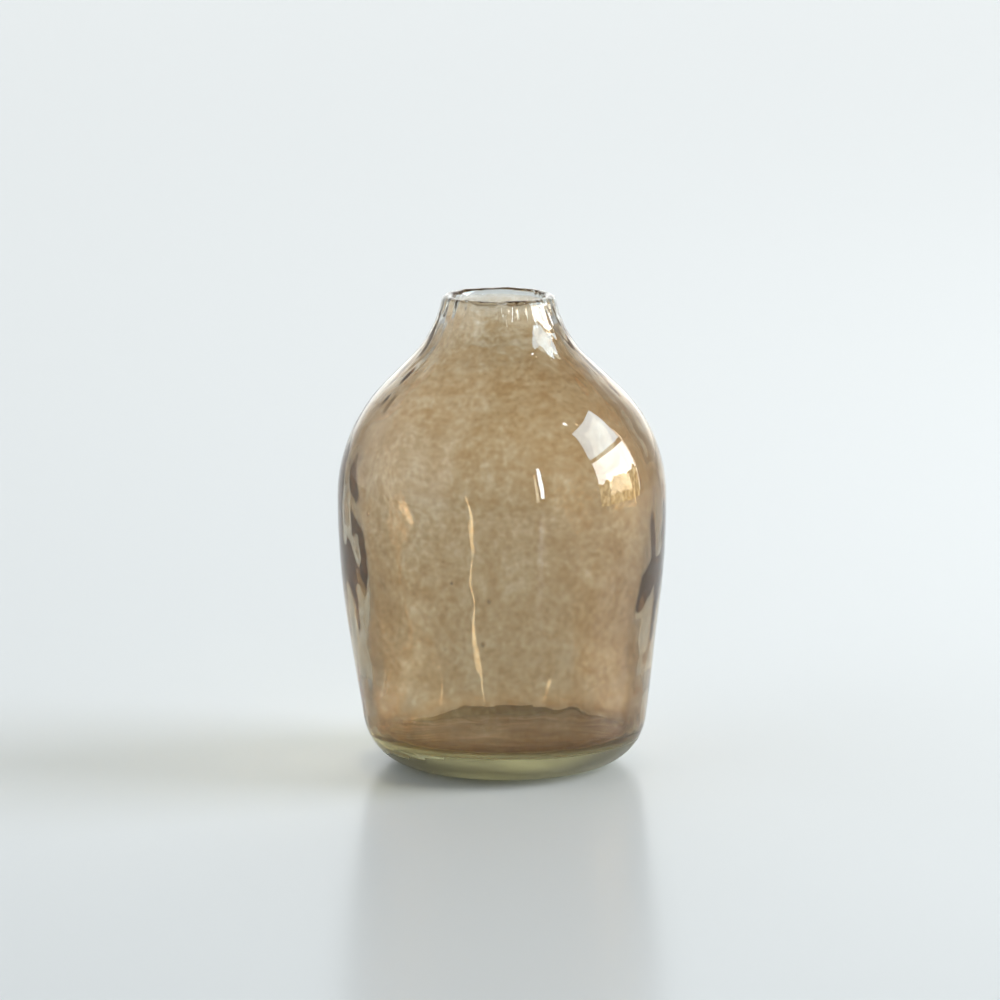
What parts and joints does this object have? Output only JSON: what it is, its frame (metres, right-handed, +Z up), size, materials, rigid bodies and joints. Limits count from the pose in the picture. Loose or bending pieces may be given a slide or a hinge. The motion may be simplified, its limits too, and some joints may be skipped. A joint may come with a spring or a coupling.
{
  "type": "bud vase",
  "caption": "Round-shouldered blown glass bud vase with a short flared neck, a rounded lip, a thick clear foot and an amber lining. Holds cut stems in water.",
  "frame": {"origin": "middle of the foot, on the surface the vase stands on", "axes": "+Z up along the vase's axis; the shape is the same all round, so +X and +Y are free"},
  "size_m": [0.0972, 0.0972, 0.14],
  "materials": {
    "clear_glass": "gloss",
    "amber_glass": "gloss"
  },
  "bodies": {
    "root": {"glass_body": "clear_glass", "amber_lining": "amber_glass"}
  },
  "joints": []
}
